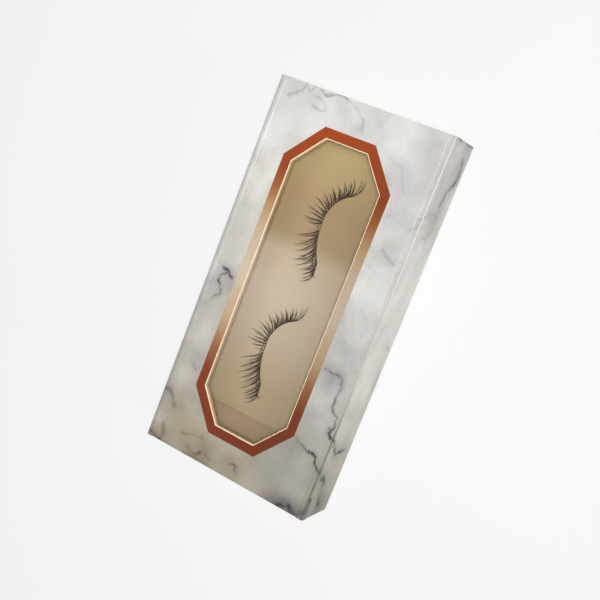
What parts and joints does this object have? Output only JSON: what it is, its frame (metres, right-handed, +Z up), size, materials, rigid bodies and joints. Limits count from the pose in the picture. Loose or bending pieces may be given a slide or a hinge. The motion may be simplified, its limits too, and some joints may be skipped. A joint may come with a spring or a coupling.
{
  "type": "false eyelash case",
  "caption": "Book-style board case for strip false eyelashes with a marble print, foil-edged window lid, magnetic flap and lashes on a clear tray.",
  "frame": {"origin": "centre of the underside of the closed case, lying on its back", "axes": "+X along the case, towards the lashes' outer ends; +Y towards the spine, away from the flap; +Z up, out of the window"},
  "size_m": [0.11, 0.054, 0.017],
  "materials": {
    "marble_print": "satin",
    "lining_paper": "matte",
    "greyboard": "matte",
    "stay_tape": "matte",
    "rose_gold_foil": "polished",
    "clear_film": "gloss",
    "clear_tray": "gloss",
    "champagne_card": "satin metallic",
    "magnet": "polished",
    "lash_thread": "matte",
    "lash_fibre": "satin"
  },
  "bodies": {
    "base": {"back_board": "greyboard", "back_wrap": "marble_print", "corner_stays": "stay_tape", "front_wall": "greyboard", "insert_card": "champagne_card", "lash_tray": "clear_tray", "left_end_wall": "greyboard", "left_lash_band": "lash_thread", "left_lash_hairs": "lash_fibre", "rear_wall": "greyboard", "right_end_wall": "greyboard", "right_lash_band": "lash_thread", "right_lash_hairs": "lash_fibre", "spine_board": "greyboard", "spine_wrap": "marble_print", "tray_floor": "greyboard", "tray_wrap": "marble_print", "wall_magnets": "magnet"},
    "lid": {"lid_board": "greyboard", "lid_wrap": "marble_print", "foil_border": "rose_gold_foil", "window_pane": "clear_film", "lid_liner": "lining_paper"},
    "flap": {"flap_board": "greyboard", "flap_wrap": "marble_print", "flap_magnets": "magnet", "flap_liner": "lining_paper"}
  },
  "joints": [
    {"name": "lid_hinge", "type": "hinge", "parent": "base", "child": "lid", "pos_m": [0, 0.0262, 0.0162], "axis": [-1, 0, 0], "range_deg": [0, 180]},
    {"name": "flap_hinge", "type": "hinge", "parent": "lid", "child": "flap", "pos_m": [0, -0.0262, 0.0162], "axis": [-1, 0, 0], "range_deg": [0, 90]}
  ]
}
